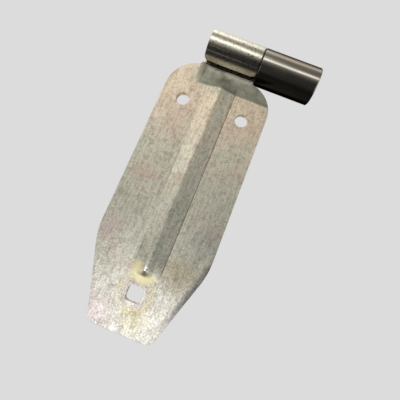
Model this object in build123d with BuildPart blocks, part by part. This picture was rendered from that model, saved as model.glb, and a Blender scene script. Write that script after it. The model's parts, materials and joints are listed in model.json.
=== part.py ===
from build123d import *
from math import atan2, cos, degrees, radians, sin, sqrt, tan
import os

# Tailgate hinge: a pressed steel strap with a rolled knuckle turns on a pin that is held in a weld-on bush.
# Frame, in millimetres: the origin is midway between the two upper holes, on the strap's back face.
# +X runs along the hinge axis from the knuckle to the bush, +Y from the holes to the hinge axis,
# and +Z out of the strap's back, through the sheet, to its front face.

# Sheet and holes of the strap
sheet = 3.0
upper_hole_spacing = 33.0
upper_hole_d = 7.0
lower_hole_side = 8.0
lower_hole_corner_r = 2.0
lower_hole_drop = 101.3

# Outline of the strap, seen from the front
strap_drop = 121.0
end_width = 32.8
end_corner_r = 5.0
kink_width = 59.4
kink_drop = 79.6
kink_r = 40.0
shoulder_width = 57.0
shoulder_rise = 5.0
shoulder_r = 17.5
neck_corner_r = 2.0

# Neck and right shoulder, which lean back to meet the hinge barrel
bend_rise = 11.7
bend_angle = 9.0

# Left shoulder, which stays flat: a narrow twist beside the neck joins the two
twist_start_inset = -0.6
twist_width = 4.0
twist_step_run = 0.3
twist_slit = 0.7

# Hinge barrel: pin, rolled knuckle and weld-on bush
axis_rise = 34.1
axis_depth = 3.5
pin_d = 14.0
pin_edge = 0.8
running_clearance = 0.05
knuckle_width = 29.2
curl_entry_r = 2.0
curl_end_angle = 159.0
curl_corner_r = 3.0
bush_wall = 3.0
bush_length = 31.5
bush_gap = 0.15
bush_edge = 0.5

# Rib pressed forward along the strap, with a hollow of the same form behind it
rib_width = 15.4
rib_offset = 0.8
rib_crest_offset = 0.2
rib_height = 2.6
rib_crest_r = 3.0
rib_root = 1.0
rib_flank = 0.95

# The rib's lower nose: the crest ends in a short steep face that stands on a low skirt. Its upper nose only fades.
rib_lower_drop = 80.0
rib_lower_nose = 16.5
rib_end_drop = 89.0
rib_end_run = 3.4
rib_skirt = 0.2
rib_lower_taper_start = 0.7
rib_upper_nose = 9.0
rib_upper_flank_span = 1.5
rib_upper_taper_start = 0.5
rib_nose_taper = 0.33
rib_faded = 0.02

# Sections in a nose of the rib and in the twist
NOSE_STEPS = 12
TWIST_STEPS = 4

# Worked out from the sizes above
mid = sheet / 2
lean = radians(bend_angle)
bend_turn = tan(lean / 2)
axis_z = sheet - axis_depth
curl_mid_r = pin_d / 2 + running_clearance + mid
entry_mid_r = curl_entry_r + mid
bush_r = pin_d / 2 + bush_wall
bush_start = knuckle_width / 2 + bush_gap
bush_end = bush_start + bush_length
barrel = Vector(axis_rise, axis_z)
neck_start = Vector(bend_rise, mid)
neck_along = Vector(cos(lean), -sin(lean))
neck_back = Vector(-sin(lean), -cos(lean))
curl_tip = barrel + Vector(cos(radians(curl_end_angle)), sin(radians(curl_end_angle))) * (curl_mid_r + mid)
twist_start = -knuckle_width / 2 + twist_start_inset
twist_end = twist_start + twist_width
rib_slope = rib_height * (1 - rib_flank / 2) / (rib_width / 2)
shoulder_x = shoulder_width / 2 - shoulder_r
neck_corner_x = knuckle_width / 2 + neck_corner_r
past_shoulder_x = max(neck_corner_x - shoulder_x, 0)
neck_corner_y = shoulder_rise + sqrt((shoulder_r + neck_corner_r)**2 - past_shoulder_x**2)
shoulder_turn = degrees(atan2(neck_corner_y - shoulder_rise, past_shoulder_x))
shoulder_top = shoulder_rise + shoulder_r
tongue_top = axis_rise + bush_r + sheet


def curl_entry():
    """Centre of the small bend that takes the neck into the curl, tangent to both, as (Y, Z)."""
    from_barrel = neck_start + neck_back * entry_mid_r - barrel
    along = from_barrel.dot(neck_along)
    reach = entry_mid_r + curl_mid_r
    run = -along - sqrt(along**2 - from_barrel.length**2 + reach**2)
    return neck_start + neck_back * entry_mid_r + neck_along * run


entry = curl_entry()
neck_front = entry - neck_back * (entry_mid_r + mid)
neck_rear = entry - neck_back * (entry_mid_r - mid)


def fall(place, start, end):
    """A smooth fall from 1 at the start to 0 at the end."""
    share = min(max((place - start) / (end - start), 0), 1)
    return 1 - share * share * (3 - 2 * share)


def bend_line(level):
    """Where the neck's bend lies along Y, on the face at this height above the back of the sheet."""
    return bend_rise + (level - mid) * bend_turn


def shoulder_section(x, share):
    """Cross-section of the sheet at this x, from just below the bend to the curl's entry.

    The share is how much of the neck's lean it has, from 0 for flat. It always ends where the neck does.
    """
    start = bend_rise - mid
    rear_step = neck_rear.X - twist_step_run
    flat_step = curl_tip.X - twist_slit
    front_step = flat_step + share * (neck_front.X - twist_step_run - flat_step)
    rear_drop = share * tan(lean) * (rear_step - bend_line(0))
    front_drop = share * tan(lean) * (front_step - bend_line(sheet))
    profile = ((start, 0), (bend_line(0), 0), (rear_step, -rear_drop), (neck_rear.X, neck_rear.Y),
               (neck_front.X, neck_front.Y), (front_step, sheet - front_drop), (bend_line(sheet), sheet),
               (start, sheet))
    return Face(Wire.make_polygon([(x, y, z) for y, z in profile], close=True))


def rib_plane(run, level, turn):
    """Plane across the strap, at this run beyond the neck's bend line, square to its face there.

    The level is the height of the face above the back of the sheet, and turn is the face's lean back.
    """
    along = bend_line(level) + max(run, 0) * cos(lean) + min(run, 0)
    centre = Vector(0, along, level - max(run, 0) * sin(lean))
    return Plane(origin=centre, x_dir=(1, 0, 0), z_dir=(0, -cos(turn), sin(turn)))


def rib_section(plane, crest=1.0, flank=1.0, width=1.0):
    """A cross-section of the rib: a V with a rounded crest, on a root that is buried in the sheet.

    The heights of the crest and of the middle of each flank, and the width, are shares of the full rib's.
    """
    left = rib_offset - width * rib_width / 2
    right = rib_offset + width * rib_width / 2
    top = crest * rib_height
    knee = flank * rib_flank * rib_height / 2
    left_knee = (left + rib_crest_offset) / 2
    right_knee = (right + rib_crest_offset) / 2
    slope = (top - knee) / (right_knee - left_knee)
    with BuildSketch(plane) as section:
        with BuildLine():
            Polyline((left, -rib_root), (left, 0), (left_knee, knee), (rib_crest_offset, top), (right_knee, knee),
                     (right, 0), (right, -rib_root), close=True)
        make_face()
        fillet(section.vertices().sort_by(Axis.Y)[-1], radius=rib_crest_r * rib_slope / slope)
    return section.sketch


def lower_nose(share):
    """Crest, flank and width of the rib at this share of its lower nose, as shares of the full rib's."""
    steep = fall(rib_lower_drop + share * rib_lower_nose, rib_end_drop, rib_end_drop + rib_end_run)
    crest = max((1 - rib_skirt) * steep + rib_skirt * fall(share, 0, 1), rib_faded)
    flank = min(max(fall(share, 0, 1), rib_faded / 2), crest + rib_faded / 2)
    return crest, flank, 1 - rib_nose_taper * (1 - fall(share, rib_lower_taper_start, 1))


def upper_nose(share):
    """Crest, flank and width of the rib at this share of its upper nose, as shares of the full rib's."""
    crest = max(fall(share, 0, 1), rib_faded)
    flank = crest * fall(share, 0, rib_upper_flank_span)
    return crest, flank, 1 - rib_nose_taper * (1 - fall(share, rib_upper_taper_start, 1))


def rib_form(level):
    """The rib's form, standing on the face at this level: the sheet's front, or its back at 0."""
    lower_run = -(rib_lower_drop + bend_rise)
    shares = [step / NOSE_STEPS for step in range(NOSE_STEPS + 1)]
    with BuildPart() as form:
        loft([rib_section(rib_plane(lower_run, level, 0)), rib_section(rib_plane(0, level, lean / 2))], ruled=True)
        loft([rib_section(rib_plane(lower_run - share * rib_lower_nose, level, 0), *lower_nose(share))
              for share in shares])
        loft([rib_section(rib_plane(share * rib_upper_nose, level, lean if share else lean / 2), *upper_nose(share))
              for share in shares])
    return form.part


def corners(sketch, half_width, y):
    """The two vertices of a symmetric outline at this half width and height."""
    places = [(-half_width, y), (half_width, y)]
    return [sketch.vertices().sort_by_distance((px, py, 0))[0] for px, py in places]


rib_front = rib_form(sheet)
rib_back = rib_form(0)

# Strap: one sheet of even thickness, cut to its outline, ribbed, bent at the neck and rolled into a knuckle
with BuildPart() as strap:
    meet = barrel - entry
    meet_angle = degrees(atan2(meet.Y, meet.X))
    entry_turn = 90 - bend_angle - meet_angle
    curl_start_angle = meet_angle + 180
    curl_turn = curl_end_angle + 360 - curl_start_angle
    blank_half = kink_width / 2 + sheet
    blank_end = -strap_drop - sheet
    with BuildSketch(Plane.YZ):
        with BuildLine():
            Polyline((blank_end, 0), (bend_line(0), 0), (neck_rear.X, neck_rear.Y), (neck_front.X, neck_front.Y),
                     (bend_line(sheet), sheet), (blank_end, sheet), close=True)
        make_face()
        with BuildLine():
            CenterArc((entry.X, entry.Y), entry_mid_r, 90 - bend_angle, -entry_turn)
            CenterArc((barrel.X, barrel.Y), curl_mid_r, curl_start_angle, curl_turn)
        trace(line_width=sheet)
    extrude(amount=blank_half, both=True)

    # The left shoulder takes the place of the leaned sheet there
    loft([shoulder_section(-blank_half, 1), shoulder_section(twist_end, 1)], mode=Mode.SUBTRACT)
    loft([shoulder_section(-blank_half, 0), shoulder_section(twist_start, 0)])
    loft([shoulder_section(twist_start + step * twist_width / TWIST_STEPS, 1 - fall(step, 0, TWIST_STEPS))
          for step in range(TWIST_STEPS + 1)])

    with BuildSketch(Plane.XY) as outline:
        with BuildLine():
            Polyline((0, -strap_drop), (end_width / 2, -strap_drop), (kink_width / 2, -kink_drop),
                     (shoulder_width / 2, shoulder_rise))
            CenterArc((shoulder_x, shoulder_rise), shoulder_r, 0, shoulder_turn)
            if neck_corner_x < shoulder_x:
                Line((shoulder_x, shoulder_top), (neck_corner_x, shoulder_top))
            CenterArc((neck_corner_x, neck_corner_y), neck_corner_r, 180 + shoulder_turn, -shoulder_turn)
            Polyline((knuckle_width / 2, neck_corner_y), (knuckle_width / 2, tongue_top), (0, tongue_top))
            mirror(about=Plane.YZ)
        make_face()
        fillet(corners(outline, kink_width / 2, -kink_drop), radius=kink_r)
        fillet(corners(outline, end_width / 2, -strap_drop), radius=end_corner_r)
    extrude(amount=axis_rise, both=True, mode=Mode.INTERSECT)

    # The curl's free end has rounded corners
    curl_end = barrel + Vector(cos(radians(curl_end_angle)), sin(radians(curl_end_angle))) * curl_mid_r
    ends = [strap.edges().sort_by_distance((side_x, curl_end.X, curl_end.Y))[0]
            for side_x in (-knuckle_width / 2, knuckle_width / 2)]
    fillet(ends, radius=curl_corner_r)

    add(rib_front)
    add(rib_back, mode=Mode.SUBTRACT)

    with Locations((-upper_hole_spacing / 2, 0, sheet), (upper_hole_spacing / 2, 0, sheet)):
        Hole(upper_hole_d / 2, depth=2 * sheet)
    with BuildSketch(Plane.XY.offset(-sheet)):
        with Locations((0, -lower_hole_drop)):
            RectangleRounded(lower_hole_side, lower_hole_side, lower_hole_corner_r)
    extrude(amount=3 * sheet, mode=Mode.SUBTRACT)
strap.part.label = "strap"

# Weld-on bush: a plain tube of the knuckle's diameter, a small gap away from it
with BuildPart() as weld_on_bush:
    with BuildSketch(Plane.YZ.offset(bush_start)):
        with Locations((axis_rise, axis_z)):
            Circle(bush_r)
            Circle(pin_d / 2, mode=Mode.SUBTRACT)
    extrude(amount=bush_length)
    outer_rims = weld_on_bush.edges().filter_by(GeomType.CIRCLE).group_by(SortBy.RADIUS)[-1]
    chamfer(outer_rims, length=bush_edge)
weld_on_bush.part.label = "weld_on_bush"

# Hinge pin: pressed into the bush, running in the knuckle, and flush with the outer end of each
with BuildPart() as hinge_pin:
    with BuildSketch(Plane.YZ.offset(-knuckle_width / 2)):
        with Locations((axis_rise, axis_z)):
            Circle(pin_d / 2)
    extrude(amount=knuckle_width / 2 + bush_end)
    chamfer(hinge_pin.edges().filter_by(GeomType.CIRCLE), length=pin_edge)
hinge_pin.part.label = "hinge_pin"

os.makedirs("parts", exist_ok=True)
export_step(strap.part, "parts/strap.step")
export_step(weld_on_bush.part, "parts/weld_on_bush.step")
export_step(hinge_pin.part, "parts/hinge_pin.step")
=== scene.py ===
"""Tailgate hinge: finishes, floor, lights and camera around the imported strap, weld-on bush and pin.

The part lies as it would on a table, seen from above and in front. Names that end in _mm are millimetres,
names that end in _deg are degrees, and everything else is in metres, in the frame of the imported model.
"""

import json
import logging
from dataclasses import dataclass, field
from enum import Enum
from math import asin, atan2, cos, hypot, pi, radians, sin, tan
from typing import Any

import bpy
from mathutils import Matrix, Vector


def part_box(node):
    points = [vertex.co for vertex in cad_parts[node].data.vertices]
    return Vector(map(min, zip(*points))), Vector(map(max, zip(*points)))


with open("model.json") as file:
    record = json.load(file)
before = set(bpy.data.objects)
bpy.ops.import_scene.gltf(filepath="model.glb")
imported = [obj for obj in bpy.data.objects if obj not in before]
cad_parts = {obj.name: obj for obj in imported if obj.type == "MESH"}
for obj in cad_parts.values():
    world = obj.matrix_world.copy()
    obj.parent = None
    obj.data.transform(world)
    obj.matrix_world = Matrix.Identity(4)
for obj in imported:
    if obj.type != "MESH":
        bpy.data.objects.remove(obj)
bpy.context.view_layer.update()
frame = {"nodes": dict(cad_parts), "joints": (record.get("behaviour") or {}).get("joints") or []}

LOG = logging.getLogger("tailgate_hinge")
MM = 0.001
# Tumbling and plating leave the edges of the sheet, the tube and the bar this round.
SOFT_EDGE_MM = 0.3
SOFT_EDGE_SAMPLES = 4
# How many times the noise of cloudy spots is halved in size, and how much of each finer one shows.
SPOT_DETAIL = 3.0
SPOT_ROUGHNESS = 0.6
BLACK = (0.0, 0.0, 0.0, 1.0)

Socket = bpy.types.NodeSocket
Tree = bpy.types.NodeTree
Place = tuple[float, float, float]
Point = tuple[float, float]
Span = tuple[float, float]


class Way(Enum):
    """Directions in which a mask can fade across the part."""

    RIGHT = (1.0, 0.0, 0.0)
    UP_THE_STRAP = (0.0, 1.0, 0.0)
    OUT_OF_THE_FACE = (0.0, 0.0, 1.0)


class Blend(Enum):
    """Ways in which a coat meets the colour under it."""

    COVER = "MIX"
    DARKEN = "MULTIPLY"


@dataclass(frozen=True)
class Coat:
    """A thin coat of colour, and how much of it shows at most.

    A share above 1 widens the full middle of a soft patch, because a mix stops at 1.
    """

    hex_colour: str
    share: float
    blend: Blend = Blend.COVER


@dataclass(frozen=True)
class Band:
    """A soft band: where its middle is, and how far from there it fades out."""

    centre_mm: float
    half_mm: float


@dataclass(frozen=True)
class Patch:
    """A round, soft patch of colour on the strap's face."""

    coat: Coat
    centre_mm: Point
    reach_mm: float


@dataclass(frozen=True)
class Spots:
    """Cloudy spots of one width.

    A spot starts where the noise passes one level and is full at another. The full level may be the lower
    one, and the spots are then where the noise is weak. The stretch is how many times longer a spot is along
    each axis, and the shift keeps two sets of one width apart.
    """

    width_mm: float
    start: float
    full: float
    stretch: Place = (1.0, 1.0, 1.0)
    shift_mm: float = 0.0


def linear(hex_colour: str) -> tuple[float, float, float, float]:
    """Turns an sRGB hex colour into the linear colour that a shader socket takes.

    Args:
        hex_colour: Six hex digits, with or without a leading #.

    Returns:
        Red, green, blue and an alpha of 1.
    """
    digits = hex_colour.lstrip("#")
    channels = [int(digits[i:i + 2], 16) / 255 for i in (0, 2, 4)]
    red, green, blue = (c / 12.92 if c <= 0.04045 else ((c + 0.055) / 1.055) ** 2.4 for c in channels)
    return red, green, blue, 1.0


def around_barrel(angle_deg: float) -> Place:
    """A direction square to the barrel.

    Args:
        angle_deg: Its angle from up the strap towards out of the face.

    Returns:
        The direction.
    """
    return 0.0, cos(radians(angle_deg)), sin(radians(angle_deg))


def add_node(
    tree: Tree, kind: str, inputs: dict[str | int, Any] | None = None, **settings: Any
) -> bpy.types.Node:
    """Adds a node, with its settings, its constants and its links.

    Args:
        tree: The node tree that gets the node.
        kind: The node's type name.
        inputs: A value or another node's output for each input that is set, by the input's name or number.
        **settings: The node's own properties, such as operation or blend_type.

    Returns:
        The new node.
    """
    node = tree.nodes.new(kind)
    for name, value in settings.items():
        setattr(node, name, value)
    for key, value in (inputs or {}).items():
        socket = node.inputs[key]
        if isinstance(value, Socket):
            tree.links.new(value, socket)
        else:
            socket.default_value = value
    return node


def new_material(name: str) -> tuple[bpy.types.Material, bpy.types.Node]:
    """Makes an empty node material with its shader.

    Args:
        name: The material's name.

    Returns:
        The material and its Principled node, which feeds the output.
    """
    material = bpy.data.materials.new(name)
    material.use_nodes = True
    material.node_tree.nodes.clear()
    shader = add_node(material.node_tree, "ShaderNodeBsdfPrincipled")
    add_node(material.node_tree, "ShaderNodeOutputMaterial", {"Surface": shader.outputs["BSDF"]})
    return material, shader


@dataclass
class Surface:
    """A metal surface under construction: its material, and the place on the part in millimetres."""

    name: str
    tree: Tree = field(init=False)
    material: bpy.types.Material = field(init=False)
    shader: bpy.types.Node = field(init=False)
    place: Socket = field(init=False)

    def __post_init__(self) -> None:
        """Makes the material and its coordinates.

        The surface is bare metal all over, until close is given a mask of where it isn't.
        """
        self.material, self.shader = new_material(self.name)
        self.shader.inputs["Metallic"].default_value = 1.0
        self.tree = self.material.node_tree
        here = add_node(self.tree, "ShaderNodeTexCoord").outputs["Object"]
        scaled = add_node(self.tree, "ShaderNodeVectorMath", {0: here, "Scale": 1 / MM}, operation="SCALE")
        self.place = scaled.outputs["Vector"]

    def fade(self, way: Way | Place, start_mm: float, end_mm: float) -> Socket:
        """A straight soft edge across the part.

        Args:
            way: The direction that the edge crosses.
            start_mm: How far along that direction the mask leaves 0.
            end_mm: How far along it the mask reaches 1. It may be less than the start.

        Returns:
            The mask.
        """
        reach = add_node(self.tree, "ShaderNodeVectorMath", {
            0: self.place, 1: way.value if isinstance(way, Way) else way,
        }, operation="DOT_PRODUCT").outputs["Value"]
        return add_node(self.tree, "ShaderNodeMapRange", {
            "Value": reach, "From Min": start_mm, "From Max": end_mm,
        }, interpolation_type="SMOOTHSTEP").outputs["Result"]

    def near(self, measure: Socket, band: Band) -> Socket:
        """Where a measure lies within a band.

        Args:
            measure: The measure, in millimetres.
            band: The band.

        Returns:
            The mask, 1 at the band's middle.
        """
        off = add_node(self.tree, "ShaderNodeMath", {0: measure, 1: band.centre_mm}, operation="SUBTRACT")
        off = add_node(self.tree, "ShaderNodeMath", {0: off.outputs[0]}, operation="ABSOLUTE")
        return add_node(self.tree, "ShaderNodeMapRange", {
            "Value": off.outputs[0], "From Min": band.half_mm, "From Max": 0.0,
        }, interpolation_type="SMOOTHSTEP").outputs["Result"]

    def stripe(self, way: Way, band: Band) -> Socket:
        """A soft stripe across the part.

        Args:
            way: The direction that it crosses.
            band: Where it lies along that direction.

        Returns:
            The mask.
        """
        reach = add_node(self.tree, "ShaderNodeVectorMath", {
            0: self.place, 1: way.value,
        }, operation="DOT_PRODUCT").outputs["Value"]
        return self.near(reach, band)

    def ring(self, centre_mm: Point, band: Band) -> Socket:
        """A soft ring on the strap's face, or a round spot where the band's middle is 0.

        Args:
            centre_mm: Its centre, along X and Y.
            band: The radii that it takes in.

        Returns:
            The mask.
        """
        flat = add_node(self.tree, "ShaderNodeVectorMath", {
            0: self.place, 1: (1.0, 1.0, 0.0),
        }, operation="MULTIPLY").outputs["Vector"]
        away = add_node(self.tree, "ShaderNodeVectorMath", {
            0: flat, 1: (*centre_mm, 0.0),
        }, operation="DISTANCE").outputs["Value"]
        return self.near(away, band)

    def mottle(self, spots: Spots) -> Socket:
        """Cloudy spots.

        Args:
            spots: How they are drawn.

        Returns:
            The mask.
        """
        drawn = add_node(self.tree, "ShaderNodeMapping", {
            "Vector": self.place, "Location": (spots.shift_mm, 0.0, 0.0),
            "Scale": tuple(1 / times for times in spots.stretch),
        }).outputs["Vector"]
        noise = add_node(self.tree, "ShaderNodeTexNoise", {
            "Vector": drawn, "Scale": 1 / spots.width_mm, "Detail": SPOT_DETAIL, "Roughness": SPOT_ROUGHNESS,
        }).outputs["Fac"]
        return add_node(self.tree, "ShaderNodeMapRange", {
            "Value": noise, "From Min": spots.start, "From Max": spots.full,
        }, interpolation_type="SMOOTHSTEP").outputs["Result"]

    def pits(self, spacing_mm: float, radius_mm: float) -> Socket:
        """Scattered small pits.

        Args:
            spacing_mm: Distance between neighbours.
            radius_mm: Radius of a pit.

        Returns:
            The mask, 1 in the inner half of a pit.
        """
        cell = add_node(self.tree, "ShaderNodeTexVoronoi", {"Vector": self.place, "Scale": 1 / spacing_mm})
        rim = radius_mm / spacing_mm
        return add_node(self.tree, "ShaderNodeMapRange", {
            "Value": cell.outputs["Distance"], "From Min": rim, "From Max": rim / 2,
        }, interpolation_type="SMOOTHSTEP").outputs["Result"]

    def meet(self, *masks: Socket, most: float = 1.0) -> Socket | float:
        """Where all of some masks meet.

        Args:
            *masks: The masks.
            most: What the result is where all of them are 1.

        Returns:
            The mask, or a plain number where there are no masks.
        """
        amount: Socket | float = most
        for mask in masks:
            amount = add_node(self.tree, "ShaderNodeMath", {
                0: mask, 1: amount,
            }, operation="MULTIPLY").outputs[0]
        return amount

    def levels(self, base: Socket | float, *areas: tuple[Socket, float]) -> Socket | float:
        """A measure that has a level of its own in some areas, each over those before it.

        Args:
            base: The measure elsewhere.
            *areas: The mask and the level of each area.

        Returns:
            The measure.
        """
        for mask, level in areas:
            base = add_node(self.tree, "ShaderNodeMix", {
                "Factor": mask, 2: base, 3: level,
            }, data_type="FLOAT").outputs[0]
        return base

    def lay(self, base: Socket | tuple[float, ...], coat: Coat, *masks: Socket) -> Socket:
        """Lays a coat over the base where all of its masks meet.

        Args:
            base: The colour so far.
            coat: The coat.
            *masks: Where it shows.

        Returns:
            The new base.
        """
        return add_node(self.tree, "ShaderNodeMix", {
            "Factor": self.meet(*masks, most=coat.share), 6: base, 7: linear(coat.hex_colour),
        }, data_type="RGBA", blend_type=coat.blend.value).outputs[2]

    def lay_patches(self, base: Socket, patches: tuple[Patch, ...]) -> Socket:
        """Lays round patches over the base.

        Args:
            base: The colour so far.
            patches: The patches.

        Returns:
            The new base.
        """
        for patch in patches:
            base = self.lay(base, patch.coat, self.ring(patch.centre_mm, Band(0.0, patch.reach_mm)))
        return base

    def close(
        self, colour: Socket, roughness: Socket, height: Socket, relief_mm: float,
        metal: Socket | None = None,
    ) -> bpy.types.Material:
        """Feeds the shader.

        Args:
            colour: The metal's colour.
            roughness: Its roughness.
            height: Its relief, from 0 to 1.
            relief_mm: How high the relief is.
            metal: How much of it is bare metal, where that isn't all.

        Returns:
            The finished material.
        """
        softened = add_node(self.tree, "ShaderNodeBevel", {
            "Radius": SOFT_EDGE_MM * MM,
        }, samples=SOFT_EDGE_SAMPLES).outputs["Normal"]
        bump = add_node(self.tree, "ShaderNodeBump", {
            "Height": height, "Strength": 1.0, "Distance": relief_mm * MM, "Normal": softened,
        })
        feeds = {"Base Color": colour, "Roughness": roughness, "Normal": bump.outputs["Normal"]}
        if metal is not None:
            feeds["Metallic"] = metal
        for name, value in feeds.items():
            self.tree.links.new(value, self.shader.inputs[name])
        return self.material


@dataclass(frozen=True)
class Passivation:
    """Thin colours that passivation leaves on the zinc, from the barrel down to the strap's lower end.

    They run from tan over grey-green to nearly white. Wide green and pink patches drift through them, and a
    few stains stand alone: grey and brown near the kink on the right, pink on the left, and pink and yellow
    at the lower end.
    """

    zinc_hex: str = "#F0F1E9"
    tan: Coat = Coat("#F6E9DA", 1.0)
    tan_mm: Span = (-38.0, 4.0)
    green: Coat = Coat("#DEE3D6", 0.6)
    green_patches: Spots = Spots(17.0, 0.5, 0.36, shift_mm=40.0)
    pink: Coat = Coat("#F0DCD6", 0.6)
    pink_patches: Spots = Spots(17.0, 0.52, 0.68, shift_mm=40.0)
    middle_stains: tuple[Patch, ...] = (
        Patch(Coat("#D6DAD8", 0.8), (23.0, -66.0), 13.0),
        Patch(Coat("#C6BDA2", 0.85), (16.0, -86.0), 15.0),
        Patch(Coat("#EBD9DC", 0.7), (-24.0, -76.0), 10.0),
    )
    white: Coat = Coat("#FCFBF7", 1.0)
    white_mm: Span = (-84.0, -108.0)
    end_stains: tuple[Patch, ...] = (
        Patch(Coat("#FAEEF2", 0.8), (-16.0, -116.0), 15.0),
        Patch(Coat("#F5F1D2", 0.8), (4.0, -112.0), 10.0),
    )

    def colour(self, skin: Surface) -> Socket:
        """Lays the colours.

        Args:
            skin: The material.

        Returns:
            The colour.
        """
        colour = skin.lay(linear(self.zinc_hex), self.tan, skin.fade(Way.UP_THE_STRAP, *self.tan_mm))
        colour = skin.lay(colour, self.green, skin.mottle(self.green_patches))
        colour = skin.lay(colour, self.pink, skin.mottle(self.pink_patches))
        colour = skin.lay_patches(colour, self.middle_stains)
        colour = skin.lay(colour, self.white, skin.fade(Way.UP_THE_STRAP, *self.white_mm))
        return skin.lay_patches(colour, self.end_stains)


@dataclass(frozen=True)
class PlateMarksAndPaintedLight:
    """Marks on the plate, and painted light and shade on it.

    They are two coloured rings round the lower hole and a grey tone along the rib's crest. The rest is
    painted light and shade: a painted highlight along the rib's left foot, painted shade on its right flank
    and in its right crease, painted shade inside the tapered edge on the right, and a painted highlight on
    the rim at the lower end.
    """

    plate_mm: Span = (12.8, 10.8)
    above_rib_end_mm: Span = (-93.0, -87.0)
    # Painted highlight along the rib's left foot.
    left_line: Coat = Coat("#FFFDF4", 0.35)
    left_line_band: Band = Band(-6.9, 0.5)
    # Painted shade on the rib's right flank.
    right_flank: Coat = Coat("#DFE7DF", 0.6)
    right_flank_band: Band = Band(4.35, 5.0)
    # Painted shade in the crease at the rib's right foot.
    right_crease: Coat = Coat("#5C5846", 0.75)
    right_crease_band: Band = Band(8.5, 0.45)
    crest: Coat = Coat("#D3DADC", 0.35)
    crest_band: Band = Band(0.2, 2.2)
    crest_mm: Span = (-35.0, -70.0)
    lower_hole_mm: Point = (0.0, -101.3)
    outer_ring: Coat = Coat("#F5EBBB", 0.6)
    outer_ring_band: Band = Band(8.6, 3.0)
    outer_ring_spots: Spots = Spots(4.0, 0.35, 0.6, shift_mm=90.0)
    inner_ring: Coat = Coat("#E3D6DC", 0.5)
    inner_ring_band: Band = Band(6.2, 1.8)
    kink_mm: Point = (29.7, -79.6)
    taper_deg: float = 17.8
    # Painted shade of the sheet's rounded edge, inside the tapered right edge below the kink.
    edge: Coat = Coat("#868B98", 0.85, Blend.DARKEN)
    inside_edge_mm: Span = (4.2, 0.8)
    edge_top_mm: Span = (-62.0, -76.0)
    edge_foot_mm: Span = (-117.0, -96.0)
    # Painted highlight on the rounded rim at the strap's lower end.
    rim: Coat = Coat("#FFFFFF", 0.9)
    rim_mm: Span = (-119.6, -120.6)

    def mark(self, skin: Surface, colour: Socket) -> Socket:
        """Lays all the marks.

        Args:
            skin: The material.
            colour: The colour so far.

        Returns:
            The colour with its marks.
        """
        colour = self.mark_rib(skin, colour)
        colour = self.mark_hole(skin, colour)
        return self.mark_edges(skin, colour)

    def mark_rib(self, skin: Surface, colour: Socket) -> Socket:
        """Lays a painted highlight left of the rib, painted shade on its right and a grey tone on the crest.

        Args:
            skin: The material.
            colour: The colour so far.

        Returns:
            The colour with its marks.
        """
        on_plate = skin.fade(Way.UP_THE_STRAP, *self.plate_mm)
        above_end = skin.fade(Way.UP_THE_STRAP, *self.above_rib_end_mm)
        lines = (
            (self.left_line, self.left_line_band),
            (self.right_flank, self.right_flank_band),
            (self.right_crease, self.right_crease_band),
        )
        for coat, band in lines:
            colour = skin.lay(colour, coat, skin.stripe(Way.RIGHT, band), on_plate, above_end)
        low_half = skin.fade(Way.UP_THE_STRAP, *self.crest_mm)
        return skin.lay(colour, self.crest, skin.stripe(Way.RIGHT, self.crest_band), low_half, above_end)

    def mark_hole(self, skin: Surface, colour: Socket) -> Socket:
        """Lays a patchy yellow ring round the lower hole, and a mauve one inside it.

        Args:
            skin: The material.
            colour: The colour so far.

        Returns:
            The colour with its marks.
        """
        outer = skin.ring(self.lower_hole_mm, self.outer_ring_band)
        colour = skin.lay(colour, self.outer_ring, outer, skin.mottle(self.outer_ring_spots))
        return skin.lay(colour, self.inner_ring, skin.ring(self.lower_hole_mm, self.inner_ring_band))

    def mark_edges(self, skin: Surface, colour: Socket) -> Socket:
        """Paints shade inside the strap's right edge below the kink, and a highlight on the rim at its lower
        end.

        Args:
            skin: The material.
            colour: The colour so far.

        Returns:
            The colour with its marks.
        """
        out = (cos(radians(self.taper_deg)), -sin(radians(self.taper_deg)), 0.0)
        edge_mm = out[0] * self.kink_mm[0] + out[1] * self.kink_mm[1]
        by_edge = skin.fade(out, *(edge_mm - inside for inside in self.inside_edge_mm))
        below_top = skin.fade(Way.UP_THE_STRAP, *self.edge_top_mm)
        above_foot = skin.fade(Way.UP_THE_STRAP, *self.edge_foot_mm)
        colour = skin.lay(colour, self.edge, by_edge, below_top, above_foot)
        return skin.lay(colour, self.rim, skin.fade(Way.UP_THE_STRAP, *self.rim_mm))


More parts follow.
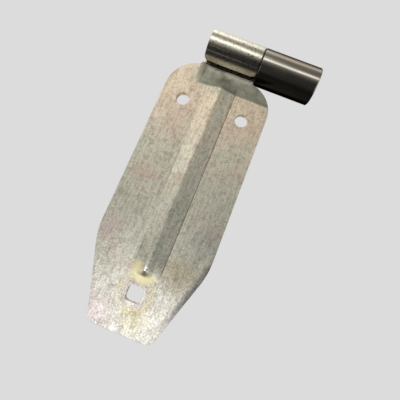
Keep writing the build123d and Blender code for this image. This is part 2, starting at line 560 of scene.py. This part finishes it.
@dataclass(frozen=True)
class PlatingGrain:
    """Salt and pepper of the plating's grains, with coloured flecks, blotches, streaks and scratches.

    The real grains are about 0.1 mm. They are drawn coarser, as the clusters that the eye can still see.
    """

    speckle: Spots = Spots(0.8, 0.3, 0.7)
    yellow: Coat = Coat("#FFEEB4", 0.34)
    yellow_flecks: Spots = Spots(1.12, 0.54, 0.66, shift_mm=120.0)
    pink: Coat = Coat("#F3D3D4", 0.25)
    pink_flecks: Spots = Spots(1.12, 0.46, 0.36, shift_mm=120.0)
    pepper: Coat = Coat("#87836F", 0.3, Blend.DARKEN)
    low_pepper: Coat = Coat("#87836F", 0.26, Blend.DARKEN)
    low_pepper_mm: Span = (-62.0, -96.0)
    blotch: Coat = Coat("#9C9786", 0.32, Blend.DARKEN)
    blotches: Spots = Spots(2.08, 0.5, 0.36, shift_mm=150.0)
    streak: Coat = Coat("#B4B0A2", 0.3, Blend.DARKEN)
    streaks: Spots = Spots(1.0, 0.42, 0.62, stretch=(1.0, 9.0, 1.0), shift_mm=350.0)
    scratch: Coat = Coat("#6B675A", 0.35)
    scratches: Spots = Spots(0.5, 0.62, 0.7, stretch=(1.0, 14.0, 1.0), shift_mm=200.0)
    scratched_areas: Spots = Spots(9.0, 0.5, 0.6, shift_mm=230.0)

    def roughen(self, skin: Surface, colour: Socket, speckle: Socket) -> Socket:
        """Lays the grain.

        Args:
            skin: The material.
            colour: The colour so far.
            speckle: The plating's speckle.

        Returns:
            The speckled colour.
        """
        colour = skin.lay(colour, self.yellow, skin.mottle(self.yellow_flecks))
        colour = skin.lay(colour, self.pink, skin.mottle(self.pink_flecks))
        dark = add_node(skin.tree, "ShaderNodeMath", {0: 1.0, 1: speckle}, operation="SUBTRACT").outputs[0]
        colour = skin.lay(colour, self.pepper, dark)
        colour = skin.lay(colour, self.low_pepper, dark, skin.fade(Way.UP_THE_STRAP, *self.low_pepper_mm))
        colour = skin.lay(colour, self.blotch, skin.mottle(self.blotches))
        colour = skin.lay(colour, self.streak, skin.mottle(self.streaks))
        scratches = skin.meet(skin.mottle(self.scratches), skin.mottle(self.scratched_areas))
        return skin.lay(colour, self.scratch, scratches)


@dataclass(frozen=True)
class RibEnd:
    """The rib's lower end.

    A pale yellow painted reflection lies round its left and its foot, with less of the metal showing there.
    A dark spot at the foot is painted shade, and a white spot where the crest turns down is a painted
    highlight, on a smoother spot.
    """

    end_mm: Point = (0.6, -89.0)
    # Painted reflection round the rib's end: a pale yellow coat, with less of the metal showing.
    halo: Coat = Coat("#FFF7CA", 0.9)
    halo_band: Band = Band(4.2, 4.4)
    halo_way: Place = (0.5, 1.0, 0.0)
    halo_mm: Span = (-85.6, -89.5)
    halo_metal: float = 0.62
    # Painted shade at the foot, and a painted white highlight where the crest turns down.
    marks: tuple[Patch, ...] = (
        Patch(Coat("#6E6A50", 0.55), (0.7, -91.1), 2.0),
        Patch(Coat("#FFFFFF", 1.5), (0.7, -88.5), 2.4),
    )
    rubbed_mm: Point = (0.7, -88.5)
    rubbed_band: Band = Band(0.0, 3.0)
    rubbed_roughness: float = 0.2

    def halo_area(self, skin: Surface) -> Socket:
        """Where the painted reflection is.

        Args:
            skin: The material.

        Returns:
            The mask.
        """
        left_and_below = skin.fade(self.halo_way, *self.halo_mm)
        return skin.meet(left_and_below, skin.ring(self.end_mm, self.halo_band))

    def mark(self, skin: Surface, colour: Socket, halo: Socket) -> Socket:
        """Lays the painted reflection, the painted shade at the foot and the painted highlight.

        Args:
            skin: The material.
            colour: The colour so far.
            halo: Where the painted reflection is.

        Returns:
            The colour with its marks.
        """
        return skin.lay_patches(skin.lay(colour, self.halo, halo), self.marks)


@dataclass(frozen=True)
class RolledAreas:
    """Masks of the rolled sheet.

    Smooth is the neck, the right shoulder and the knuckle together, and knuckle is the knuckle alone. Film
    is what is left along the knuckle's free end, where the rolls haven't reached.
    """

    smooth: Socket
    knuckle: Socket
    film: Socket


@dataclass(frozen=True)
class RolledSheet:
    """The neck and the knuckle, burnished by the rolls.

    The neck's darker grey-green is partly its own tone and partly painted shade of the barrel. It is painted
    darkest just past the bend, as painted shade, and pale near the knuckle, as painted light. Small pits are
    scattered over the knuckle, and a brown film is left at its free end. The gap below the knuckle and the
    joint with the bush are painted dark, as painted shade.
    """

    # Where each area fades in.
    past_bend_mm: Span = (11.3, 12.5)
    past_twist_mm: Span = (-15.2, -11.2)
    knuckle_mm: Span = (23.7, 24.3)
    film_end_mm: Span = (26.9, 25.0)
    film_face_mm: Span = (1.8, 2.6)
    # The neck, and then the knuckle with its film, and the painted shade below it and at the joint.
    # Partly the neck's own grey-green, partly painted shade of the barrel.
    neck: Coat = Coat("#B4B7AB", 1.0)
    # Painted light: the neck is painted pale next to the knuckle.
    neck_top: Coat = Coat("#EDEDE6", 0.9)
    neck_top_mm: Span = (19.5, 23.0)
    smudge: Coat = Coat("#85897F", 0.6)
    smudges: Spots = Spots(5.0, 0.42, 0.62, shift_mm=260.0)
    bend_shade: Coat = Coat("#8A8D84", 0.6)
    bend_shade_mm: Span = (15.0, 12.2)
    knuckle: Coat = Coat("#E2E0D6", 1.0)
    worn: Coat = Coat("#A9A99C", 0.7)
    worn_spots: Spots = Spots(1.3, 0.5, 0.66, shift_mm=310.0)
    pit: Coat = Coat("#3A352B", 0.9)
    pit_spacing_mm: float = 1.9
    pit_radius_mm: float = 0.5
    pitted_areas: Spots = Spots(4.0, 0.47, 0.53)
    film: Coat = Coat("#BDAF95", 0.95)
    film_middle: Coat = Coat("#FFF4DA", 0.95)
    film_middle_band: Band = Band(1.5, 15.0)
    film_dirt: Coat = Coat("#7D6F54", 0.7)
    film_dirt_spots: Spots = Spots(1.1, 0.5, 0.66, shift_mm=330.0)
    # Painted shade in the narrow gap below the knuckle's free end.
    slit: Coat = Coat("#24211D", 0.9)
    slit_mm: Span = (25.0, 24.6)
    # Painted shade at the joint between the knuckle and the bush.
    joint_grime: Coat = Coat("#2A2824", 0.9)
    joint_mm: Span = (13.9, 14.6)
    # How rough each area is, and how much of its metal shows.
    neck_roughness: float = 0.32
    knuckle_roughness: float = 0.13
    film_roughness: float = 0.5
    neck_metal: float = 0.6
    knuckle_metal: float = 1.0
    film_metal: float = 0.2

    def areas(self, skin: Surface) -> RolledAreas:
        """Where the sheet is burnished, and where the film is left.

        Args:
            skin: The material.

        Returns:
            The masks.
        """
        past_twist = skin.fade(Way.RIGHT, *self.past_twist_mm)
        knuckle = skin.fade(Way.UP_THE_STRAP, *self.knuckle_mm)
        across = add_node(skin.tree, "ShaderNodeMath", {0: past_twist, 1: knuckle}, operation="MAXIMUM")
        smooth = skin.meet(skin.fade(Way.UP_THE_STRAP, *self.past_bend_mm), across.outputs[0])
        by_end = skin.fade(Way.UP_THE_STRAP, *self.film_end_mm)
        in_front = skin.fade(Way.OUT_OF_THE_FACE, *self.film_face_mm)
        return RolledAreas(smooth, knuckle, skin.meet(by_end, in_front, knuckle))

    def colour(self, skin: Surface, colour: Socket, areas: RolledAreas) -> Socket:
        """Lays the colours of the neck, of the knuckle and of its free end, and the painted shade at the
        joint.

        Args:
            skin: The material.
            colour: The colour so far.
            areas: Where the sheet is rolled.

        Returns:
            The colour.
        """
        smooth, knuckle, film = areas.smooth, areas.knuckle, areas.film
        colour = skin.lay(colour, self.neck, smooth)
        colour = skin.lay(colour, self.neck_top, smooth, skin.fade(Way.UP_THE_STRAP, *self.neck_top_mm))
        colour = skin.lay(colour, self.smudge, smooth, skin.mottle(self.smudges))
        bend = skin.fade(Way.UP_THE_STRAP, *self.bend_shade_mm)
        colour = skin.lay(colour, self.bend_shade, smooth, bend)
        colour = skin.lay(colour, self.knuckle, knuckle)
        colour = skin.lay(colour, self.worn, knuckle, skin.mottle(self.worn_spots))
        pits = skin.pits(self.pit_spacing_mm, self.pit_radius_mm)
        colour = skin.lay(colour, self.pit, knuckle, pits, skin.mottle(self.pitted_areas))
        colour = skin.lay(colour, self.film, film)
        colour = skin.lay(colour, self.film_middle, film, skin.stripe(Way.RIGHT, self.film_middle_band))
        colour = skin.lay(colour, self.film_dirt, film, skin.mottle(self.film_dirt_spots))
        colour = skin.lay(colour, self.slit, knuckle, skin.fade(Way.UP_THE_STRAP, *self.slit_mm))
        return skin.lay(colour, self.joint_grime, knuckle, skin.fade(Way.RIGHT, *self.joint_mm))


@dataclass(frozen=True)
class ZincPlatedSteel:
    """Pressed steel sheet, zinc plated and passivated.

    The plating is satin and finely speckled, because its grains lie at all angles. The neck and the knuckle
    are smooth, because the rolls have flattened the grains. Passivation hides part of the metal on the neck
    and along the knuckle's free end, and less of the metal shows in the painted reflection round the rib's
    lower end.
    """

    name: str = "zinc_plated_pressed_sheet_steel"
    passivation: Passivation = Passivation()
    press_marks: PlateMarksAndPaintedLight = PlateMarksAndPaintedLight()
    grain: PlatingGrain = PlatingGrain()
    rib_end: RibEnd = RibEnd()
    rolled: RolledSheet = RolledSheet()
    clouds: Spots = Spots(6.0, 0.3, 0.7, shift_mm=50.0)
    plate_roughness: Span = (0.40, 0.49)
    relief_mm: float = 0.02
    flat_relief: float = 0.5

    def build(self) -> bpy.types.Material:
        """Makes the material.

        Returns:
            The material.
        """
        skin = Surface(self.name)
        areas = self.rolled.areas(skin)
        halo = self.rib_end.halo_area(skin)
        speckle = skin.mottle(self.grain.speckle)
        colour = self.passivation.colour(skin)
        colour = self.press_marks.mark(skin, colour)
        colour = self.grain.roughen(skin, colour, speckle)
        colour = self.rib_end.mark(skin, colour, halo)
        colour = self.rolled.colour(skin, colour, areas)
        relief = skin.levels(speckle, (areas.smooth, self.flat_relief))
        roughness = self.roughness(skin, areas)
        return skin.close(colour, roughness, relief, self.relief_mm, self.metal(skin, areas, halo))

    def roughness(self, skin: Surface, areas: RolledAreas) -> Socket:
        """Roughness, which varies in clouds on the plate and has levels of its own elsewhere.

        Args:
            skin: The material.
            areas: Where the sheet is rolled.

        Returns:
            The roughness.
        """
        plate = add_node(skin.tree, "ShaderNodeMapRange", {
            "Value": skin.mottle(self.clouds),
            "To Min": self.plate_roughness[0], "To Max": self.plate_roughness[1],
        }).outputs["Result"]
        rubbed = skin.ring(self.rib_end.rubbed_mm, self.rib_end.rubbed_band)
        return skin.levels(
            plate,
            (areas.smooth, self.rolled.neck_roughness),
            (areas.knuckle, self.rolled.knuckle_roughness),
            (areas.film, self.rolled.film_roughness),
            (rubbed, self.rib_end.rubbed_roughness),
        )

    def metal(self, skin: Surface, areas: RolledAreas, halo: Socket) -> Socket:
        """How much of the metal shows through the passivation and in the painted reflection at the rib's
        end.

        Args:
            skin: The material.
            areas: Where the sheet is rolled.
            halo: Where the painted reflection at the rib's end is.

        Returns:
            The share, from 0 to 1.
        """
        return skin.levels(
            1.0,
            (areas.smooth, self.rolled.neck_metal),
            (areas.knuckle, self.rolled.knuckle_metal),
            (areas.film, self.rolled.film_metal),
            (halo, self.rib_end.halo_metal),
        )


@dataclass(frozen=True)
class DrawnTubeSteel:
    """Plain drawn steel tube, bare, with a thin dark oily scale that the die has streaked along its length.

    Its underside is painted nearly black, as painted shade. Dull scale is left in patches along the side
    away from the strap. On the upper side one band is painted pale, as painted light, and two lines are
    painted highlights.
    """

    name: str = "drawn_mild_steel_tube_with_thin_scale"
    steel_hex: str = "#A8A49E"
    mirror_edge_hex: str = "#4A4644"
    streak: Coat = Coat("#D2CAC1", 0.8)
    streaks: Spots = Spots(0.8, 0.35, 0.7, stretch=(30.0, 1.0, 1.0))
    cloud: Coat = Coat("#8A867F", 0.5)
    clouds: Spots = Spots(5.0, 0.35, 0.65, stretch=(2.5, 1.0, 1.0), shift_mm=30.0)
    upper_side_mm: Span = (3.0, 4.0)
    # Painted highlight: a pinkish line on the tube's upper side, away from the strap.
    far_rub: Coat = Coat("#F0DCCB", 0.6)
    far_rub_band: Band = Band(37.7, 1.5)
    # Painted light: a paler band on the tube's upper side, towards the strap.
    dry: Coat = Coat("#F0ECE4", 0.8)
    dry_band: Band = Band(29.4, 3.2)
    # Painted highlight: a white line along the top of the tube.
    top_rub: Coat = Coat("#FFFFFF", 0.6)
    top_rub_band: Band = Band(32.9, 0.9)
    # Painted shade: the tube is painted nearly black on its underside, on the strap's side.
    oil: Coat = Coat("#1E1B19", 0.96)
    oily_deg: float = 20.0
    oily_mm: Span = (28.8, 25.6)
    # Painted shade at the tube's end next to the knuckle.
    joint_grime: Coat = Coat("#2A2622", 0.8)
    joint_band: Band = Band(14.75, 0.7)
    scale: Coat = Coat("#3B3633", 1.0)
    scaled_deg: float = 35.0
    scaled_mm: Span = (36.9, 37.4)
    scale_patches: Spots = Spots(9.0, 0.25, 0.45, shift_mm=70.0)
    scale_metal: float = 0.2
    roughness: Span = (0.12, 0.19)
    relief_mm: float = 0.002

    def build(self) -> bpy.types.Material:
        """Makes the material.

        Returns:
            The material.
        """
        skin = Surface(self.name)
        skin.shader.inputs["Specular Tint"].default_value = linear(self.mirror_edge_hex)
        skin.shader.inputs["Specular IOR Level"].default_value = 0.0
        streaks = skin.mottle(self.streaks)
        clouds = skin.mottle(self.clouds)
        upper_side = skin.fade(Way.OUT_OF_THE_FACE, *self.upper_side_mm)
        colour = skin.lay(linear(self.steel_hex), self.streak, streaks)
        colour = skin.lay(colour, self.cloud, clouds)
        far_rub = skin.stripe(Way.UP_THE_STRAP, self.far_rub_band)
        colour = skin.lay(colour, self.far_rub, far_rub, upper_side, clouds)
        dry = skin.stripe(Way.UP_THE_STRAP, self.dry_band)
        colour = skin.lay(colour, self.dry, dry, upper_side)
        top_rub = skin.stripe(Way.UP_THE_STRAP, self.top_rub_band)
        colour = skin.lay(colour, self.top_rub, top_rub, upper_side)
        colour = skin.lay(colour, self.oil, skin.fade(around_barrel(self.oily_deg), *self.oily_mm))
        colour = skin.lay(colour, self.joint_grime, skin.stripe(Way.RIGHT, self.joint_band))
        far_side = skin.fade(around_barrel(self.scaled_deg), *self.scaled_mm)
        scaled = skin.meet(far_side, skin.mottle(self.scale_patches))
        colour = skin.lay(colour, self.scale, scaled)
        roughness = add_node(skin.tree, "ShaderNodeMapRange", {
            "Value": clouds, "To Min": self.roughness[0], "To Max": self.roughness[1],
        }).outputs["Result"]
        metal = skin.levels(1.0, (scaled, self.scale_metal))
        return skin.close(colour, roughness, streaks, self.relief_mm, metal)


@dataclass(frozen=True)
class TurnedBarSteel:
    """Bright drawn bar, faced in a lathe: fine rings on its ends, a clean grey shine on its side.

    The real tool marks are about 0.1 mm apart. They are drawn coarser, so that they can be seen.
    """

    name: str = "bright_drawn_bar_steel"
    steel_hex: str = "#C2BFB9"
    ring_mm: float = 0.45
    dull: Coat = Coat("#93908B", 0.7)
    scuffs: Spots = Spots(2.5, 0.35, 0.65)
    roughness: Span = (0.18, 0.30)
    relief_mm: float = 0.004

    def build(self) -> bpy.types.Material:
        """Makes the material.

        Returns:
            The material.
        """
        skin = Surface(self.name)
        axis = Vector(frame["joints"][0]["pos_m"]) / MM
        across = add_node(skin.tree, "ShaderNodeVectorMath", {
            0: skin.place, 1: (0.0, -1.0, -1.0), 2: (0.0, axis.y, axis.z),
        }, operation="MULTIPLY_ADD").outputs["Vector"]
        radius = add_node(skin.tree, "ShaderNodeVectorMath", {0: across}, operation="LENGTH")
        rings = add_node(skin.tree, "ShaderNodeMath", {
            0: radius.outputs["Value"], 1: self.ring_mm,
        }, operation="PINGPONG").outputs[0]
        groove = add_node(skin.tree, "ShaderNodeMapRange", {
            "Value": rings, "From Max": self.ring_mm,
        }).outputs["Result"]
        scuffs = skin.mottle(self.scuffs)
        colour = skin.lay(linear(self.steel_hex), self.dull, groove, scuffs)
        roughness = add_node(skin.tree, "ShaderNodeMapRange", {
            "Value": scuffs, "To Min": self.roughness[0], "To Max": self.roughness[1],
        }).outputs["Result"]
        return skin.close(colour, roughness, groove, self.relief_mm)


@dataclass(frozen=True)
class Softbox:
    """A rectangular studio light that faces the point it is aimed at."""

    name: str
    place_mm: Place
    aim_mm: Place
    width_mm: float
    depth_mm: float
    radiance: float
    spread_deg: float
    tint_hex: str

    def power(self) -> float:
        """Watts that give the box its radiance on axis, whatever its size and spread.

        Returns:
            The power.
        """
        half = radians(self.spread_deg) / 2
        gain = tan(half) / (tan(half) - half)
        return self.radiance * pi * self.width_mm * MM * self.depth_mm * MM / gain

    def build(self) -> None:
        """Hangs the light.

        It shines along its own -Z, which is turned towards the point it is aimed at.
        """
        data = bpy.data.lights.new(self.name, "AREA")
        data.shape = "RECTANGLE"
        data.size = self.width_mm * MM
        data.size_y = self.depth_mm * MM
        data.energy = self.power()
        data.spread = radians(self.spread_deg)
        data.color = linear(self.tint_hex)[:3]
        box = bpy.data.objects.new(self.name, data)
        place = Vector(self.place_mm) * MM
        box.location = place
        box.rotation_euler = (place - Vector(self.aim_mm) * MM).to_track_quat("Z", "Y").to_euler()
        bpy.context.scene.collection.objects.link(box)


@dataclass(frozen=True)
class LightTent:
    """A tent of white cloth, lit from outside, that the metal mirrors.

    Its light is given as bands of height round the part, from below the table's near edge, over the far side
    and the top, and down to the near side again. A height is the angle up from the far horizon, so 90 is
    straight above, more than 90 is on the near side, and less than 0 is the table beyond the part.

    The bands lean near the middle of the far side, where they are higher on the right than on the left, so
    that the barrel's highlights slant along it. The tent's left side is lit more than its right, but less so
    on the near side. Its two near corners glow. These changes start and end at given parts of the direction
    along X and Y, from -1 to 1.
    """

    bands: tuple[tuple[float, float], ...] = (
        (-180.0, 0.3), (-140.0, 0.5), (-95.0, 0.5), (-62.0, 0.55), (-33.0, 0.75), (-5.0, 1.12),
        (9.0, 1.2), (17.0, 0.78), (25.0, 0.37), (38.0, 0.34), (46.0, 0.31), (53.5, 0.78),
        (60.0, 1.2), (65.0, 1.7), (69.0, 1.4), (73.5, 0.72), (80.0, 0.31), (88.0, 0.14),
        (96.0, 0.06), (107.0, 0.03), (125.0, 0.03), (156.0, 0.03), (167.0, 0.09), (180.0, 0.45),
    )
    lean: float = 1.2
    lean_x: Span = (0.5, 0.0)
    lean_y: Span = (0.05, 0.5)
    side_x: Span = (-0.35, 0.2)
    side_gain: Span = (1.44, 0.7)
    side_y: Span = (-0.1, 0.45)
    side_near_share: float = 0.45
    corner_radiance: float = 0.9
    corner_x: Span = (0.3, 0.6)
    corner_y: Span = (-0.05, -0.5)
    tint_hex: str = "#FFFAEE"

    def build(self) -> None:
        """Makes the world from the tent.

        The light from a direction is that of its band, times the gain of its side, plus the corners' glow.
        """
        world = bpy.data.worlds.new("light_tent")
        world.use_nodes = True
        tree = world.node_tree
        towards = add_node(tree, "ShaderNodeTexCoord").outputs["Generated"]
        axes = add_node(tree, "ShaderNodeSeparateXYZ", {"Vector": towards}).outputs
        off_centre = add_node(tree, "ShaderNodeMath", {0: axes["X"]}, operation="ABSOLUTE").outputs[0]
        light = add_node(tree, "ShaderNodeMath", {
            0: self.band_light(tree, axes, off_centre),
            1: self.gain_of_side(tree, axes),
            2: self.corner_glow(tree, axes, off_centre),
        }, operation="MULTIPLY_ADD").outputs[0]
        cloth = tree.nodes["Background"]
        cloth.inputs["Color"].default_value = linear(self.tint_hex)
        tree.links.new(light, cloth.inputs["Strength"])
        bpy.context.scene.world = world

    def band_light(self, tree: Tree, axes: Any, off_centre: Socket) -> Socket:
        """Light of the bands.

        Args:
            tree: The world's node tree.
            axes: The direction's parts along X, Y and Z.
            off_centre: The size of its part along X.

        Returns:
            The radiance.
        """
        central = add_node(tree, "ShaderNodeMapRange", {
            "Value": off_centre, "From Min": self.lean_x[0], "From Max": self.lean_x[1],
            "To Max": self.lean,
        }, interpolation_type="SMOOTHSTEP").outputs["Result"]
        beyond = add_node(tree, "ShaderNodeMapRange", {
            "Value": axes["Y"], "From Min": self.lean_y[0], "From Max": self.lean_y[1],
        }).outputs["Result"]
        lean = add_node(tree, "ShaderNodeMath", {0: central, 1: beyond}, operation="MULTIPLY").outputs[0]
        leaning = add_node(tree, "ShaderNodeMath", {
            0: axes["X"], 1: lean, 2: axes["Y"],
        }, operation="MULTIPLY_ADD").outputs[0]
        height = add_node(tree, "ShaderNodeMath", {0: axes["Z"], 1: leaning}, operation="ARCTAN2")
        place = add_node(tree, "ShaderNodeMapRange", {
            "Value": height.outputs[0], "From Min": -pi, "From Max": pi,
        })
        ramp = add_node(tree, "ShaderNodeValToRGB", {"Fac": place.outputs["Result"]})
        ramp.color_ramp.interpolation = "EASE"
        stops = ramp.color_ramp.elements
        while len(stops) < len(self.bands):
            stops.new(1.0)
        for stop, (height_deg, radiance) in zip(stops, self.bands):
            stop.position = height_deg / 360 + 0.5
            stop.color = (radiance, radiance, radiance, 1.0)
        return ramp.outputs["Color"]

    def gain_of_side(self, tree: Tree, axes: Any) -> Socket:
        """How much more the left side is lit than the right.

        Args:
            tree: The world's node tree.
            axes: The direction's parts along X, Y and Z.

        Returns:
            The gain.
        """
        share = add_node(tree, "ShaderNodeMapRange", {
            "Value": axes["Y"], "From Min": self.side_y[0], "From Max": self.side_y[1],
            "To Min": self.side_near_share,
        }).outputs["Result"]
        sideways = add_node(tree, "ShaderNodeMath", {0: axes["X"], 1: share}, operation="MULTIPLY")
        return add_node(tree, "ShaderNodeMapRange", {
            "Value": sideways.outputs[0], "From Min": self.side_x[0], "From Max": self.side_x[1],
            "To Min": self.side_gain[0], "To Max": self.side_gain[1],
        }, interpolation_type="SMOOTHSTEP").outputs["Result"]

    def corner_glow(self, tree: Tree, axes: Any, off_centre: Socket) -> Socket:
        """Glow of the two near corners.

        Args:
            tree: The world's node tree.
            axes: The direction's parts along X, Y and Z.
            off_centre: The size of its part along X.

        Returns:
            The radiance.
        """
        on_near_side = add_node(tree, "ShaderNodeMapRange", {
            "Value": axes["Y"], "From Min": self.corner_y[0], "From Max": self.corner_y[1],
        }, interpolation_type="SMOOTHSTEP").outputs["Result"]
        at_corner = add_node(tree, "ShaderNodeMapRange", {
            "Value": off_centre, "From Min": self.corner_x[0], "From Max": self.corner_x[1],
            "To Max": self.corner_radiance,
        }, interpolation_type="SMOOTHSTEP").outputs["Result"]
        return add_node(tree, "ShaderNodeMath", {
            0: on_near_side, 1: at_corner,
        }, operation="MULTIPLY").outputs[0]


@dataclass(frozen=True)
class Studio:
    """The floor, the backdrop, the lights and the camera."""

    tent: LightTent = LightTent()
    boxes: tuple[Softbox, ...] = (
        Softbox(
            name="near_end_grid", place_mm=(-10.0, -172.0, 150.0), aim_mm=(0.0, -122.0, 0.0),
            width_mm=120.0, depth_mm=110.0, radiance=3.6, spread_deg=52.0, tint_hex="#FFFFFF",
        ),
        Softbox(
            name="middle_grid", place_mm=(-45.0, -85.0, 230.0), aim_mm=(-8.0, -118.0, 0.0),
            width_mm=110.0, depth_mm=110.0, radiance=0.8, spread_deg=50.0, tint_hex="#FFFCF4",
        ),
    )
    paper_hex: str = "#DCDCDC"
    floor_size_mm: float = 4000.0
    dome_radius_mm: float = 1800.0
    dome_segments: int = 48
    dome_rings: int = 24
    lens_mm: float = 27.0
    sensor_mm: float = 36.0
    clip_mm: Span = (10.0, 10000.0)
    eye_mm: Place = (19.33, -65.63, 153.08)
    look_deg: Place = (7.635, -0.146, 21.985)

    def floor_tilt(self) -> float:
        """Lean of the floor about X, so that the strap's lower end and the barrel's back both lie on it.

        Returns:
            The angle, in radians.
        """
        low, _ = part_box("strap")
        axis = Vector(frame["joints"][0]["pos_m"])
        reach = hypot(axis.y - low.y, axis.z)
        return atan2(axis.z, axis.y - low.y) - asin((axis.z - low.z) / reach)

    def paper(self) -> bpy.types.Material:
        """Pale paper that glows evenly, so that it is plain from every side.

        It can be seen through from behind.

        Returns:
            The material.
        """
        material, shader = new_material("pale_matt_paper")
        tree = material.node_tree
        behind = add_node(tree, "ShaderNodeNewGeometry").outputs["Backfacing"]
        seen = add_node(tree, "ShaderNodeMath", {0: 1.0, 1: behind}, operation="SUBTRACT").outputs[0]
        tree.links.new(seen, shader.inputs["Alpha"])
        shader.inputs["Base Color"].default_value = BLACK
        shader.inputs["Roughness"].default_value = 1.0
        shader.inputs["Specular IOR Level"].default_value = 0.0
        shader.inputs["Emission Color"].default_value = linear(self.paper_hex)
        shader.inputs["Emission Strength"].default_value = 1.0
        return material

    def lay_paper(self) -> None:
        """Lays a paper floor under the part, with a dome of the same paper far behind it.

        The dome faces inwards. The metal mirrors the tent in place of both.
        """
        material = self.paper()
        low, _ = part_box("strap")
        bpy.ops.object.select_all(action="DESELECT")
        bpy.ops.mesh.primitive_plane_add(size=self.floor_size_mm * MM)
        floor = bpy.context.object
        floor.name = "floor"
        tilt = Matrix.Rotation(self.floor_tilt(), 4, "X")
        floor.data.transform(Matrix.Translation((0, low.y, 0)) @ tilt)
        bpy.ops.object.select_all(action="DESELECT")
        bpy.ops.mesh.primitive_uv_sphere_add(
            segments=self.dome_segments, ring_count=self.dome_rings, radius=self.dome_radius_mm * MM
        )
        dome = bpy.context.object
        dome.name = "backdrop"
        dome.data.flip_normals()
        for stage in (floor, dome):
            stage.data.materials.append(material)
            stage.visible_glossy = False
            stage.visible_diffuse = False
            stage.visible_transmission = False
            stage.visible_shadow = False

    def place_camera(self) -> None:
        """Places the camera.

        Colours come out as they are lit, with the plain view transform.
        """
        data = bpy.data.cameras.new("camera")
        data.lens = self.lens_mm
        data.sensor_width = self.sensor_mm
        data.clip_start, data.clip_end = (reach * MM for reach in self.clip_mm)
        camera = bpy.data.objects.new("camera", data)
        camera.location = Vector(self.eye_mm) * MM
        camera.rotation_euler = [radians(a) for a in self.look_deg]
        bpy.context.scene.collection.objects.link(camera)
        bpy.context.scene.camera = camera
        bpy.context.scene.view_settings.view_transform = "Standard"

    def build(self) -> None:
        """Sets up the whole studio.

        The paper comes first, then the tent, the two lights with grids, and the camera.
        """
        self.lay_paper()
        self.tent.build()
        for box in self.boxes:
            box.build()
        self.place_camera()


@dataclass(frozen=True)
class Hinge:
    """The hinge's pieces, each with its finish."""

    strap: ZincPlatedSteel = ZincPlatedSteel()
    weld_on_bush: DrawnTubeSteel = DrawnTubeSteel()
    hinge_pin: TurnedBarSteel = TurnedBarSteel()

    def dress(self) -> list[bpy.types.Object]:
        """Gives each piece its finish.

        Returns:
            The pieces.
        """
        pieces = []
        for node, finish in vars(self).items():
            piece = frame["nodes"][node]
            piece.data.materials.clear()
            piece.data.materials.append(finish.build())
            pieces.append(piece)
        return pieces


def main() -> None:
    """Dresses the hinge and sets up the studio.

    The log says what each piece is made of.
    """
    logging.basicConfig(level=logging.INFO, format="%(name)s: %(message)s")
    for piece in Hinge().dress():
        LOG.info("%s: %d faces, %s", piece.name, len(piece.data.polygons), piece.data.materials[0].name)
    Studio().build()


if __name__ == "__main__":
    main()
